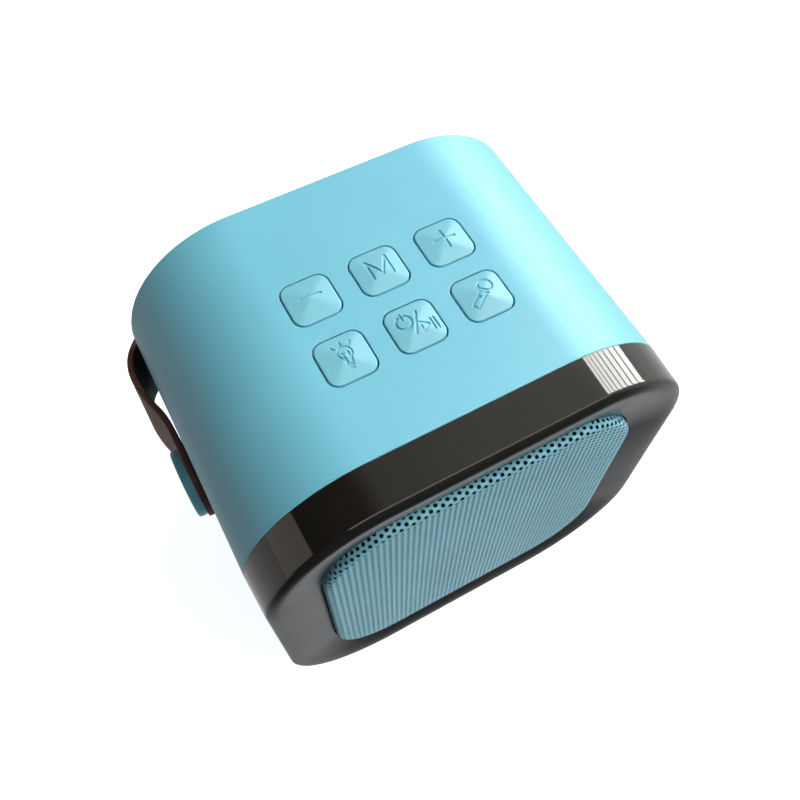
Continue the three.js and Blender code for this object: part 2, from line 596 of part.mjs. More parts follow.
// A round button with a well for its screw, its inner face at z = 0.
const button = () => turnedZ([
  [THROUGH_HOLE, 0], [BUTTON_RADIUS, 0], [BUTTON_RADIUS, BUTTON_THICK - 0.6],
  [BUTTON_RADIUS - 0.6, BUTTON_THICK], [2.9, BUTTON_THICK], [2.9, BUTTON_FLOOR - 0.05],
  [THROUGH_HOLE, BUTTON_FLOOR - 0.05],
], 28);

function buildStrap() {
  piece('strap', strap(), LEATHER);
  const face = STRAP_FACE + STRAP_THICK + 0.05;
  const shape = button();
  const strapScrew = screw(2.6, 0.8, 0.95, 6.5);
  [[-1, 'left'], [1, 'right']].forEach(([side, name]) => {
    const place = (label, form, material, out) => {
      const mesh = piece(`${label}_${name}`, form, material, side * out, BUTTON_Y, STRAP_MID);
      mesh.rotation.set(0, (side * Math.PI) / 2, 0);
    };
    place('strap_button', shape, AQUA, face);
    place('strap_screw', strapScrew, STEEL, face + BUTTON_FLOOR);
  });
}

buildCase();
buildFront();
buildDriver();
buildKeys();
buildElectronics();
buildLeads();
buildStrap();

// The row frame: origin at the bottom centre of the whole object's box, strap included.
const bounds = new THREE.Box3().setFromObject(speaker);
speaker.position.set(0, -(bounds.min.y + bounds.max.y) / 2, FOOT_HEIGHT);

export default speaker;
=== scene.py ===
"""Portable Bluetooth speaker: the looks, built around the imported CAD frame.

Shapes are written in millimetres in the case's own frame: x = 0 is the middle, y = 0 is the seam
between case and bezel with the grille towards -y, and z = 0 is the underside of the case.
The stage and the camera are written in metres.
"""
import json
import math

import bmesh
import bpy
import numpy as np
from mathutils import Matrix, Vector
from mathutils.geometry import delaunay_2d_cdt


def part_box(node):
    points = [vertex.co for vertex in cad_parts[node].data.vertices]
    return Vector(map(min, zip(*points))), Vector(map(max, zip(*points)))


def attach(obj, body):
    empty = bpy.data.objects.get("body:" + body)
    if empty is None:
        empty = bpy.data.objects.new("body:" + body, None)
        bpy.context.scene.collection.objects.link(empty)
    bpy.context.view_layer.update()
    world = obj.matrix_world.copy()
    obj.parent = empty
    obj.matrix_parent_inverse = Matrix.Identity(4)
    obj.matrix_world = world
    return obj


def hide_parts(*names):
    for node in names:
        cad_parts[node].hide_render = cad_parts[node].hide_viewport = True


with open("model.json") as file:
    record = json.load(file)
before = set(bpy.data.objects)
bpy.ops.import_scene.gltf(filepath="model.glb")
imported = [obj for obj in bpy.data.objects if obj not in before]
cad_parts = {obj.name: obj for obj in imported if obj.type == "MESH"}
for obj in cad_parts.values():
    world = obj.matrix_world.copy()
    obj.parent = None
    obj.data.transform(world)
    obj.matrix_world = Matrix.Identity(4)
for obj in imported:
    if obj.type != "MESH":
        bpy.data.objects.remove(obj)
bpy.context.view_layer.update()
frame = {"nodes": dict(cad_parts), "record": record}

# ---- sizes shared by several pieces -------------------------------------------------------------
MM = 0.001
SEAM = 0.15     # the CAD's half gap between case and bezel
SHUT = 0.035    # the same gap as it looks, with the two pressed together
shell_low, shell_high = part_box("main_shell")
ORIGIN = Vector((0, shell_low.y - SEAM * MM, shell_low.z))


def local(point):
    """A point of the row frame in the case's own millimetres."""
    return (Vector(point) - ORIGIN) / MM


def local_box(node):
    low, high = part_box(node)
    return local(low), local(high)


def local_centre(node):
    low, high = local_box(node)
    return (low + high) / 2


WIDTH = (shell_high.x - shell_low.x) / MM
HEIGHT = (shell_high.z - shell_low.z) / MM
DEPTH = local(shell_high).y
MID = HEIGHT / 2
CREST = local_box("front_bezel")[0].y
GRILLE_FACE = local_box("grille")[0].y
COVER_FACE = local_box("rear_cover")[1].y
CORNER = 29.2           # outer corner radius of case and bezel
WALL = 2.4
FIT = 0.3               # gap between a part and the opening that it sits in
PAST = 1                # how far a cutter stands out of the face that it cuts
GRILLE_INSET = 13.3     # from the side of the bezel to its grille opening
GRILLE_CORNER = 17.4
KEY_OPENING = 11.38
KEY_SIZE = 10.7
KEY_CORNER = 2.5


# ---- mesh making --------------------------------------------------------------------------------
SHARP = 32          # degrees; an edge over this angle isn't smoothed
SAME_POINT = 1e-7   # metres; closer points are merged
CUT_SLIVER = 2e-6   # the same after a cut, which leaves slivers


def in_metres(points):
    """Points of the case's own millimetres, in the row frame."""
    return (np.asarray(points, float) * MM + np.array(ORIGIN)).tolist()


def mesh_object(name, points, faces):
    """A bare object in the scene, from points in metres."""
    mesh = bpy.data.meshes.new(name)
    mesh.from_pydata(points, [], [list(map(int, face)) for face in faces])
    mesh.validate()
    mesh.update()
    made = bpy.data.objects.new(name, mesh)
    bpy.context.scene.collection.objects.link(made)
    return made


def make(name, verts, faces, material, sharp=SHARP, weighted=True):
    """A piece from points in the case's millimetres, smooth except at edges over sharp degrees."""
    made = mesh_object(name, in_metres(verts), faces)
    made.data.materials.append(material)
    smooth(made, sharp, weighted)
    return made


def smooth(obj, sharp=SHARP, weighted=True):
    obj.data.shade_smooth()
    obj.data.set_sharp_from_angle(angle=math.radians(sharp))
    if weighted:
        modifier = obj.modifiers.new("weighted", "WEIGHTED_NORMAL")
        modifier.keep_sharp = True


def weld(obj, distance=SAME_POINT):
    """Merges points that coincide and turns every face outwards."""
    bm = bmesh.new()
    bm.from_mesh(obj.data)
    bmesh.ops.remove_doubles(bm, verts=bm.verts, dist=distance)
    bmesh.ops.recalc_face_normals(bm, faces=bm.faces)
    bm.to_mesh(obj.data)
    bm.free()


def cutter(loops):
    """A closed solid for carve(), from loops in the case's millimetres."""
    verts, faces = skin(loops)
    made = mesh_object("cutter", in_metres(verts), faces)
    weld(made)
    return made


def apply_modifiers(obj):
    graph = bpy.context.evaluated_depsgraph_get()
    mesh = bpy.data.meshes.new_from_object(obj.evaluated_get(graph))
    obj.modifiers.clear()
    obj.data = mesh


def carve(obj, cutters, sharp=SHARP):
    """Cuts every cutter out of obj and deletes it."""
    obj.modifiers.clear()
    for tool in cutters:
        modifier = obj.modifiers.new("cut", "BOOLEAN")
        modifier.object = tool
        modifier.solver = "EXACT"
    bpy.context.view_layer.update()
    apply_modifiers(obj)
    weld(obj, CUT_SLIVER)
    for tool in cutters:
        bpy.data.objects.remove(tool)
    smooth(obj, sharp)


def arc_points(centre, radius, start, end, steps):
    """Points of an arc, start and end in degrees."""
    angles = [math.radians(start + (end - start) * i / steps) for i in range(steps + 1)]
    return [(centre[0] + radius * math.cos(a), centre[1] + radius * math.sin(a)) for a in angles]


def rounded(width, height, radius, steps):
    """A rounded rectangle about the middle, as (u, v) points counter-clockwise, with so many steps
    round each corner."""
    points = []
    for quarter, (su, sv) in enumerate([(1, 1), (-1, 1), (-1, -1), (1, -1)]):
        centre = su * (width / 2 - radius), sv * (height / 2 - radius)
        points += arc_points(centre, radius, quarter * 90, quarter * 90 + 90, steps)
    return points


def skin(loops, ring=False):
    """Faces between loops of points of equal length: a closed ring, or else a bar with flat ends."""
    count = len(loops[0])
    spans = len(loops) if ring else len(loops) - 1
    verts = [point for loop in loops for point in loop]
    faces = []
    for s in range(spans):
        t = (s + 1) % len(loops)
        for i in range(count):
            j = (i + 1) % count
            faces.append((s * count + i, s * count + j, t * count + j, t * count + i))
    if not ring:
        faces.append(tuple(range(count))[::-1])
        faces.append(tuple(range(spans * count, (spans + 1) * count)))
    return verts, faces


def frame_loops(profile, steps):
    """One loop round the case for each (inset, y) or (inset, y, corner radius) of the profile."""
    loops = []
    for inset, y, *corner in profile:
        radius = corner[0] if corner else CORNER - inset
        ring = rounded(WIDTH - 2 * inset, HEIGHT - 2 * inset, radius, steps)
        loops.append([(u, y, MID + v) for u, v in ring])
    return loops


def turned(name, profile, axis, centre, material, sides):
    """A closed (radius, along) profile turned about the x, y or z axis through centre."""
    verts, faces = [], []
    count = len(profile)
    for s in range(sides):
        angle = 2 * math.pi * s / sides
        for radius, along in profile:
            a, b = radius * math.cos(angle), radius * math.sin(angle)
            offset = {"x": (along, a, b), "y": (a, along, b), "z": (a, b, along)}[axis]
            verts.append(tuple(c + o for c, o in zip(centre, offset)))
        t = (s + 1) % sides
        for i in range(count - 1):
            faces.append((s * count + i, t * count + i, t * count + i + 1, s * count + i + 1))
    made = make(name, verts, faces, material)
    weld(made)
    return made


def settle(obj, body, node):
    """obj rides on body and stands for the CAD node, which it hides."""
    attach(obj, body)
    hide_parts(node)


# ---- materials ----------------------------------------------------------------------------------
# Every texture is a 0..1 value that stays mostly between these two.
TEXTURE_LOW = 0.3
TEXTURE_HIGH = 0.7


def shader(name, color, roughness, metallic=0.0):
    material = bpy.data.materials.new(name)
    material.use_nodes = True
    tree = material.node_tree
    principled = tree.nodes["Principled BSDF"]
    principled.inputs["Base Color"].default_value = (*color, 1)
    principled.inputs["Roughness"].default_value = roughness
    principled.inputs["Metallic"].default_value = metallic
    return material, tree, principled


def texture(tree, scale, detail, kind="ShaderNodeTexNoise"):
    place = tree.nodes.new("ShaderNodeTexCoord")
    made = tree.nodes.new(kind)
    made.inputs["Scale"].default_value = scale
    made.inputs["Detail"].default_value = detail
    tree.links.new(place.outputs["Object"], made.inputs["Vector"])
    return made


def bump(tree, principled, source, strength, height):
    """Relief from a texture, with its height in millimetres."""
    node = tree.nodes.new("ShaderNodeBump")
    node.inputs["Strength"].default_value = strength
    node.inputs["Distance"].default_value = height * MM
    tree.links.new(source, node.inputs["Height"])
    tree.links.new(node.outputs["Normal"], principled.inputs["Normal"])


def spread(tree, source, target, low, high):
    """Maps a texture on to a range of a socket."""
    node = tree.nodes.new("ShaderNodeMapRange")
    node.inputs["From Min"].default_value = TEXTURE_LOW
    node.inputs["From Max"].default_value = TEXTURE_HIGH
    node.inputs["To Min"].default_value = low
    node.inputs["To Max"].default_value = high
    tree.links.new(source, node.inputs["Value"])
    tree.links.new(node.outputs["Result"], target)


def tint(tree, source, principled, dark, light):
    """Colours the surface from dark to light by a texture."""
    node = tree.nodes.new("ShaderNodeValToRGB")
    for element, position, color in zip(
        node.color_ramp.elements, (TEXTURE_LOW, TEXTURE_HIGH), (dark, light)
    ):
        element.position = position
        element.color = (*color, 1)
    tree.links.new(source, node.inputs["Fac"])
    tree.links.new(node.outputs["Color"], principled.inputs["Base Color"])


def shade_of(color, factor):
    return tuple(c * factor for c in color)


def plastic(name, color, roughness, grain=2600, strength=0.12, haze=0.0):
    """Moulded plastic: fine spark-eroded grain, with a slow drift of tone and gloss. The haze is a
    pale film seen at a glancing angle."""
    material, tree, principled = shader(name, color, roughness)
    fine = texture(tree, grain, detail=2)
    bump(tree, principled, fine.outputs["Fac"], strength, height=0.04)
    slow = texture(tree, 30, detail=4)
    gloss = principled.inputs["Roughness"]
    spread(tree, slow.outputs["Fac"], gloss, roughness - 0.04, roughness + 0.04)
    tint(tree, slow.outputs["Fac"], principled, shade_of(color, 0.97), shade_of(color, 1.03))
    principled.inputs["Sheen Weight"].default_value = haze
    principled.inputs["Sheen Roughness"].default_value = 0.35
    return material


def metal(name, color, roughness):
    """Plated or machined metal with fine scratches."""
    material, tree, principled = shader(name, color, roughness, 1)
    scratches = texture(tree, 900, detail=6)
    gloss = principled.inputs["Roughness"]
    spread(tree, scratches.outputs["Fac"], gloss, roughness * 0.8, roughness * 1.3)
    bump(tree, principled, scratches.outputs["Fac"], 0.15, height=0.03)
    return material


def smoked(name):
    """Glossy smoked plastic with a hard polish and a faint orange-peel."""
    color = (0.010, 0.008, 0.0065)
    material, tree, principled = shader(name, color, 0.06)
    principled.inputs["IOR"].default_value = 1.54
    principled.inputs["Specular Tint"].default_value = (1.0, 0.95, 0.84, 1)
    principled.inputs["Coat Weight"].default_value = 0.4
    principled.inputs["Coat Tint"].default_value = (1.0, 0.97, 0.92, 1)
    principled.inputs["Coat Roughness"].default_value = 0.03
    peel = texture(tree, 220, detail=2)
    bump(tree, principled, peel.outputs["Fac"], 0.05, height=0.08)
    slow = texture(tree, 45, detail=3)
    tint(tree, slow.outputs["Fac"], principled, shade_of(color, 0.9), shade_of(color, 1.12))
    return material


def coated_metal(name, color):
    """Powder-coated sheet: satin, with a slight pebble."""
    material, tree, principled = shader(name, color, 0.38, 0.15)
    pebble = texture(tree, 3200, detail=2)
    bump(tree, principled, pebble.outputs["Fac"], 0.15, height=0.03)
    slow = texture(tree, 60, detail=3)
    tint(tree, slow.outputs["Fac"], principled, shade_of(color, 0.94), shade_of(color, 1.05))
    return material


def leather(name, dark, light):
    """Smooth leather: pores, and a mottled tone and gloss."""
    material, tree, principled = shader(name, light, 0.6)
    principled.inputs["Sheen Weight"].default_value = 0.05
    principled.inputs["Sheen Roughness"].default_value = 0.5
    mottle = texture(tree, 160, detail=6)
    tint(tree, mottle.outputs["Fac"], principled, dark, light)
    spread(tree, mottle.outputs["Fac"], principled.inputs["Roughness"], 0.52, 0.68)
    pores = texture(tree, 1500, detail=2, kind="ShaderNodeTexVoronoi")
    bump(tree, principled, pores.outputs["Distance"], 0.35, height=0.12)
    return material


WEAVE_PITCH = 0.6       # from thread to thread, in millimetres
WAVE_UNIT = 0.314       # scale of a wave texture whose bands repeat once in a unit


def cloth_weave(name, color):
    """A plain weave from two crossed waves."""
    material, tree, principled = shader(name, color, 0.9)
    place = tree.nodes.new("ShaderNodeTexCoord")
    total = tree.nodes.new("ShaderNodeMath")
    total.operation = "MULTIPLY"
    for index, direction in enumerate(("X", "Z")):
        wave = tree.nodes.new("ShaderNodeTexWave")
        wave.bands_direction = direction
        wave.inputs["Scale"].default_value = WAVE_UNIT / (WEAVE_PITCH * MM)
        tree.links.new(place.outputs["Object"], wave.inputs["Vector"])
        tree.links.new(wave.outputs["Fac"], total.inputs[index])
    bump(tree, principled, total.outputs["Value"], 0.6, height=0.1)
    slow = texture(tree, 300, detail=2)
    tint(tree, slow.outputs["Fac"], principled, shade_of(color, 0.8), shade_of(color, 1.2))
    return material


AQUA = (0.190, 0.575, 0.720)
PALE_AQUA = (0.23, 0.59, 0.715)
MATERIALS = {
    "shell": plastic("shell_plastic", AQUA, 0.42, haze=0.3),
    "keys": plastic("key_plastic", PALE_AQUA, 0.38, grain=3200, strength=0.08),
    "smoke": smoked("smoked_plastic"),
    "diffuser": plastic("milky_diffuser", (0.75, 0.75, 0.71), 0.35),
    "board": plastic("solder_resist", (0.015, 0.11, 0.045), 0.35, grain=900),
    "grille": coated_metal("grille_coating", (0.255, 0.60, 0.72)),
    "cloth": cloth_weave("acoustic_cloth", (0.008, 0.008, 0.009)),
    "black_plastic": plastic("black_plastic", (0.014, 0.014, 0.015), 0.45),
    "driver_frame": plastic("black_paint", (0.012, 0.012, 0.013), 0.3, grain=1200),
    "ferrite": plastic("ferrite", (0.035, 0.035, 0.037), 0.75, grain=1500, strength=0.4),
    "steel": metal("plated_steel", (0.55, 0.55, 0.56), 0.28),
    "rubber": plastic("rubber", (0.012, 0.012, 0.012), 0.78, grain=1800, strength=0.3),
    "spider": cloth_weave("treated_cloth", (0.45, 0.30, 0.07)),
    "cone": plastic("pressed_paper", (0.02, 0.02, 0.021), 0.8, grain=1400, strength=0.6),
    "copper": metal("copper_winding", (0.60, 0.26, 0.11), 0.3),
    "cell": plastic("shrink_sleeve", (0.03, 0.14, 0.42), 0.3),
    "wire": plastic("wire_insulation", (0.32, 0.02, 0.018), 0.4),
    "leather": leather("brown_leather", (0.075, 0.019, 0.012), (0.175, 0.048, 0.030)),
}
# Second finishes of three pieces: the bezel's satin border; on the walls of the grille's holes, a
# darker copy of the grille's coating as painted shade; and on the strap's inner side, near-black
# leather as painted shade where it faces the case.
SATIN_SMOKE = plastic("satin_smoke", (0.012, 0.012, 0.0125), 0.3, grain=2200)
# A darker copy of the grille's coating: painted shade on the walls of its holes.
GRILLE_HOLE_SHADE = coated_metal("grille_hole_painted_shade", (0.20, 0.47, 0.57))
# Near-black leather for the strap's inner side: painted shade where it faces the case.
STRAP_INNER_SHADE = leather("strap_inner_painted_shade", (0.006, 0.004, 0.004), (0.014, 0.009, 0.008))


# ---- case ---------------------------------------------------------------------------------------
KEY_NAMES = ("minus", "mode", "plus", "light", "power", "mic")
OPENING_EDGE = 0.1      # rounding along the top of a key opening
OPENING_DEPTH = 4       # of its cutter, well through the wall
LIP = 0.16              # rounding at the seam
RIM = 0.35              # rounding round the back
INNER_CHAMFER = 0.3     # inside the rear rim
INNER_ROW = 20          # from the back to a row of points that splits the long inner wall


def key_cutter(name):
    """Cuts a key's opening through the top of the case."""
    cx, cy, _ = local_centre(f"key_{name}")
    profile = [(0, HEIGHT - OPENING_DEPTH)]
    profile += arc_points((OPENING_EDGE, HEIGHT - OPENING_EDGE), OPENING_EDGE, 180, 90, 5)
    profile += [(OPENING_EDGE, HEIGHT + PAST)]
    loops = []
    for grow, z in profile:
        size = KEY_OPENING + 2 * grow
        ring = rounded(size, size, KEY_CORNER + FIT + grow, 10)
        loops.append([(cx + u, cy + v, z) for u, v in ring])
    return cutter(loops)


def build_shell():
    """The case: a rounded-square sleeve with soft edges at the seam and round the rear rim."""
    profile = [(WALL, SHUT)]
    profile += arc_points((LIP, SHUT + LIP), LIP, 270, 180, 4)
    profile += arc_points((RIM, DEPTH - RIM), RIM, 180, 90, 8)
    profile += [(WALL - INNER_CHAMFER, DEPTH), (WALL, DEPTH - INNER_CHAMFER), (WALL, DEPTH - INNER_ROW)]
    verts, faces = skin(frame_loops(profile, 32), ring=True)
    shell = make("case_shell", verts, faces, MATERIALS["shell"])
    weld(shell)
    carve(shell, [key_cutter(name) for name in KEY_NAMES], 30)
    settle(shell, "chassis", "main_shell")


# ---- keys ---------------------------------------------------------------------------------------
def arc(cx, cy, radius, start=0, end=360):
    """An arc or a whole circle of a symbol."""
    return arc_points((cx, cy), radius, start, end, 28)


# Engraved lines of each key in millimetres from its centre, +y towards the back.
SYMBOLS = {
    "minus": [[(-2.25, 0.5), (2.45, 0.5)]],
    "mode": [[(-2.0, -1.9), (-2.0, 2.8), (0.3, -1.5), (2.6, 2.8), (2.6, -1.9)]],
    "plus": [[(-2.0, 0.45), (2.7, 0.45)], [(0.35, -1.9), (0.35, 2.8)]],
    "light": [
        arc(0.25, 0.75, 1.5, -52, 232),
        [(-0.65, -0.45), (-0.35, -1.75), (0.85, -1.75), (1.15, -0.45)],
        [(-0.15, -1.4), (-0.45, 0.75), (0.25, 0.2), (0.95, 0.75), (0.65, -1.4)],
        [(-0.3, -2.25), (0.8, -2.25)], [(-0.1, -2.9), (0.6, -2.9)],
        [(0.25, 2.75), (0.25, 3.55)], [(-1.35, 2.35), (-1.85, 3.0)], [(1.85, 2.35), (2.35, 3.0)],
    ],
    "power": [
        arc(-1.9, 1.5, 1.65, 115, 425), [(-1.9, 2.1), (-1.9, 3.7)],
        [(1.5, 2.85), (-0.7, -1.95)],
        [(0.9, 0.1), (2.7, -1.0), (0.9, -2.15), (0.9, 0.1)],
        [(3.3, 0.1), (3.3, -2.5)], [(4.15, 0.1), (4.15, -2.5)],
    ],
    "mic": [
        arc(1.56, 1.72, 1.5), [(0.15, 1.35), (1.75, 0.2)], [(-0.3, 0.75), (1.2, -0.35)],
        [(-0.1, 0.75), (-3.2, -1.6), (-2.4, -2.75), (0.95, -0.3)], [(-0.95, -0.35), (-0.8, -0.55)],
    ],
}
THIN_SYMBOLS = ("light", "mic")
THIN_GROOVE = 0.27      # half the width of an engraved line at the surface
GROOVE = 0.35           # the same for the other symbols
GROOVE_WALL = 0.14      # how far in from its edge a line reaches its full depth
GROOVE_DEPTH = 0.38
KEY_CELLS = 180         # squares along each side of a cap's grid
KEY_EDGE = 0.26         # rounding round a cap
KEY_EDGE_DROP = 0.195   # how far that rounding falls
KEY_PROUD = 0.1         # of a cap's side above the case, before the rounding
KEY_RISE = 0.95         # from a cap's side to where its facets would meet
KEY_BLUNT = 0.35        # radius that blunts the meeting point of the facets
KEY_SKIRT = 2.6         # how far a cap reaches down into the case
FACET_POWER = 7         # the higher, the sharper the ridges between the facets


def distance_to_lines(x, y, lines):
    """Distance from every grid point to the nearest of the polylines."""
    best = np.full(x.shape, np.inf)
    for line in lines:
        for (ax, ay), (bx, by) in zip(line[:-1], line[1:]):
            dx, dy = bx - ax, by - ay
            along = np.clip(((x - ax) * dx + (y - ay) * dy) / (dx * dx + dy * dy), 0, 1)
            best = np.minimum(best, np.hypot(x - ax - along * dx, y - ay - along * dy))
    return best


def key_grid():
    """A square grid drawn in towards rounded corners near its rim: x, y, and how far out it is."""
    half = KEY_SIZE / 2
    line = np.linspace(-1, 1, KEY_CELLS + 1)
    u, v = np.meshgrid(line, line, indexing="ij")
    reach = np.maximum(np.abs(u), np.abs(v))
    safe = np.where(reach > 0, reach, 1)
    rim_u, rim_v = np.abs(u / safe) * half, np.abs(v / safe) * half
    low, far = np.minimum(rim_u, rim_v), np.maximum(rim_u, rim_v)
    # Where the ray from the middle meets the corner's arc, from a quadratic in its longer side.
    flat = half - KEY_CORNER
    slope = low / np.where(far > 0, far, 1)
    a = 1 + slope**2
    b = -2 * flat * (1 + slope)
    c = 2 * flat**2 - KEY_CORNER**2
    root = (-b + np.sqrt(np.maximum(b * b - 4 * a * c, 0))) / (2 * a)
    pull = np.where(low > flat * far / half, np.minimum(root / half, 1), 1)
    scale = 1 + (pull - 1) * reach**5
    return u * half * scale, v * half * scale, reach


def key_height(name, x, y, reach):
    """Height of a cap over its grid: four soft facets, a rounded rim and the engraved symbol."""
    half = KEY_SIZE / 2
    out = (np.abs(x)**FACET_POWER + np.abs(y)**FACET_POWER) ** (1 / FACET_POWER)
    top = HEIGHT + KEY_PROUD + KEY_RISE * (1 - np.sqrt(out**2 + KEY_BLUNT**2) / half)
    rim = np.clip((1 - reach) * half / KEY_EDGE, 0, 1)
    top -= KEY_EDGE_DROP * (1 - np.sqrt(1 - (1 - rim)**2))
    width = THIN_GROOVE if name in THIN_SYMBOLS else GROOVE
    groove = np.clip((width - distance_to_lines(x, y, SYMBOLS[name])) / GROOVE_WALL, 0, 1)
    return top - GROOVE_DEPTH * (3 * groove**2 - 2 * groove**3)


def build_key(name):
    """A faceted cap on a straight skirt, closed underneath."""
    x, y, reach = key_grid()
    cx, cy, _ = local_centre(f"key_{name}")
    verts = np.stack([cx + x, cy + y, key_height(name, x, y, reach)], -1).reshape(-1, 3)
    index = np.arange(len(verts)).reshape(x.shape)
    corners = [index[:-1, :-1], index[1:, :-1], index[1:, 1:], index[:-1, 1:]]
    faces = np.stack(corners, -1).reshape(-1, 4).tolist()
    border = np.concatenate([index[:, 0], index[-1, 1:], index[-2::-1, -1], index[0, -2:0:-1]])
    skirt = verts[border]
    skirt[:, 2] = HEIGHT - KEY_SKIRT
    base, count = len(verts), len(border)
    for i in range(count):
        j = (i + 1) % count
        faces.append([border[j], border[i], base + i, base + j])
    faces.append([base + i for i in range(count)])
    verts = np.vstack([verts, skirt])
    cap = make(f"cap_{name}", verts, faces, MATERIALS["keys"], 50, weighted=False)
    settle(cap, f"key_{name}", f"key_{name}")


# ---- front --------------------------------------------------------------------------------------
RIDGE = 3.2         # how far in from the side the bezel reaches furthest forward
DRAFT = 0.45        # how much the bezel narrows towards the front
ROLL = 1.65         # depth of the rounding from the side to the ridge
ROLL_STEP = 6       # degrees
SATIN_FROM = 24     # degrees round the roll at which the satin border starts
DISH = 2.1          # how far the border falls from the ridge to the grille


def build_bezel():
    """The smoked frame: sides with a little draft, a broad round edge, and a border dished down to
    the grille. The border has a satin texture and the rest is polished."""
    border = CREST + DISH
    profile = [(WALL + FIT, -SHUT), (0.08, -SHUT), (0.02, -SHUT - 0.03), (0, -SHUT - 0.1)]
    profile += [(DRAFT * 0.5, (CREST + ROLL) * 0.5)]
    first_satin = len(profile) + SATIN_FROM // ROLL_STEP
    for degrees in range(0, 91, ROLL_STEP):
        angle = math.radians(degrees)
        inset = RIDGE - (RIDGE - DRAFT) * math.cos(angle)
        profile.append((inset, CREST + ROLL * (1 - math.sin(angle))))
    profile += [(4.2, CREST + 0.08), (6, CREST + 0.36), (9, CREST + 1.03)]
    profile += [(GRILLE_INSET - 0.5, border - 0.12, GRILLE_CORNER + 0.5)]
    profile += [(GRILLE_INSET - 0.1, border + 0.05, GRILLE_CORNER + 0.1)]
    profile += [(GRILLE_INSET, border + 0.3, GRILLE_CORNER)]
    last_satin = len(profile) - 1
    profile += [(GRILLE_INSET, border + 1.8, GRILLE_CORNER), (WALL, CREST + 2.7), (WALL, -1.6)]
    loops = frame_loops(profile, 40)
    verts, faces = skin(loops, ring=True)
    bezel = make("smoked_bezel", verts, faces, MATERIALS["smoke"], 40)
    bezel.data.materials.append(SATIN_SMOKE)
    count = len(loops[0])
    for polygon in bezel.data.polygons[first_satin * count:last_satin * count]:
        polygon.material_index = 1
    weld(bezel)
    settle(bezel, "chassis", "front_bezel")


# ---- grille -------------------------------------------------------------------------------------
HOLE_PITCH = 1.54       # along a column of holes; every other column is half a pitch further up
HOLE_COLUMN = 1.38      # from column to column
HOLE_SHIFT = -0.45      # of the whole pattern, upwards from the middle of the grille
HOLE_RADIUS = 0.48
HOLE_SIDES = 10
HOLE_INSIDE = 0.93      # share of the radius within which a hole's triangles have their middles
RIM_MARGIN = 0.35       # plain sheet left between the outermost holes and the sheet's edge
CORNER_MARGIN = 0.65    # the same round the corners
SHEET = 0.13            # thickness
BEND = 1.3              # radius round the pan's face
PAN_WALL = 2.2          # straight part of the pan's side
FLAT_REACH = BEND * math.pi / 2 + PAN_WALL      # of the flat sheet past the face
PAN_INSET = GRILLE_INSET + FIT + BEND
FACE_WIDE = WIDTH - 2 * PAN_INSET
FACE_HIGH = HEIGHT - 2 * PAN_INSET
FACE_CORNER = GRILLE_CORNER - FIT - BEND


def hole_centre(column, row):
    """A hole's place on the flat sheet, about the middle of the face."""
    return column * HOLE_COLUMN, (row + 0.5 * (column % 2)) * HOLE_PITCH + HOLE_SHIFT


def hole_cells():
    """The (column, row) of every hole, from a staggered pattern that ends before the sheet's edge."""
    across = int((FACE_WIDE / 2 + FLAT_REACH) / HOLE_COLUMN) + 1
    up = int((FACE_HIGH / 2 + FLAT_REACH) / HOLE_PITCH) + 1
    cells = []
    for column in range(-across, across + 1):
        for row in range(-up, up + 1):
            u, v = hole_centre(column, row)
            du = max(abs(u) - FACE_WIDE / 2 + FACE_CORNER, 0)
            dv = max(abs(v) - FACE_HIGH / 2 + FACE_CORNER, 0)
            margin = CORNER_MARGIN if du > 0 and dv > 0 else RIM_MARGIN
            if math.hypot(du, dv) - FACE_CORNER <= FLAT_REACH - HOLE_RADIUS - margin:
                cells.append((column, row))
    return cells


def outside_holes(middle, cells):
    """Which triangles of the flat sheet, given by their middles, lie outside every hole."""
    column = np.rint(middle[:, 0] / HOLE_COLUMN)
    row = np.rint((middle[:, 1] - HOLE_SHIFT) / HOLE_PITCH - 0.5 * (column % 2))
    u, v = hole_centre(column, row)
    near = np.hypot(middle[:, 0] - u, middle[:, 1] - v) < HOLE_RADIUS * HOLE_INSIDE
    drilled = set(cells)
    return ~(near & np.array([cell in drilled for cell in zip(column, row)]))


def flat_sheet():
    """The perforated sheet before it is bent: points, triangles, edges, and how many of the edges
    come first because they are its rim."""
    wide, high = FACE_WIDE + 2 * FLAT_REACH, FACE_HIGH + 2 * FLAT_REACH
    loops = [rounded(wide, high, FACE_CORNER + FLAT_REACH, 24)]
    cells = hole_cells()
    for cell in cells:
        loops.append(arc_points(hole_centre(*cell), HOLE_RADIUS, 0, 360, HOLE_SIDES)[:-1])
    edges = []
    start = 0
    for loop in loops:
        count = len(loop)
        edges += [(start + k, start + (k + 1) % count) for k in range(count)]
        start += count
    points = [Vector(point) for loop in loops for point in loop]
    flat, _, triangles, *_ = delaunay_2d_cdt(points, edges, [], 0, 1e-6)
    flat = np.array([tuple(point) for point in flat])
    triangles = np.array([tuple(triangle) for triangle in triangles])
    triangles = triangles[outside_holes(flat[triangles].mean(1), cells)]
    return flat, triangles, edges, len(loops[0])


def bent(flat, depth):
    """The flat sheet wrapped round the pan's face outline, at a depth under its outer skin."""
    past = np.abs(flat) - np.array([FACE_WIDE / 2 - FACE_CORNER, FACE_HIGH / 2 - FACE_CORNER])
    outside = np.maximum(past, 0)
    length = np.linalg.norm(outside, axis=1)
    inside = length < 1e-9
    normal = outside / np.where(inside, 1, length)[:, None]
    away = np.where(inside, past.max(1), length) - FACE_CORNER
    over = np.maximum(away, 0)
    angle = np.minimum(over / BEND, math.pi / 2)
    down = np.maximum(over - BEND * math.pi / 2, 0)
    shift = (BEND - depth) * np.sin(angle) - over
    place = flat + np.sign(flat) * normal * shift[:, None]
    y = GRILLE_FACE + BEND - (BEND - depth) * np.cos(angle) + down
    return np.stack([place[:, 0], y, MID + place[:, 1]], -1)


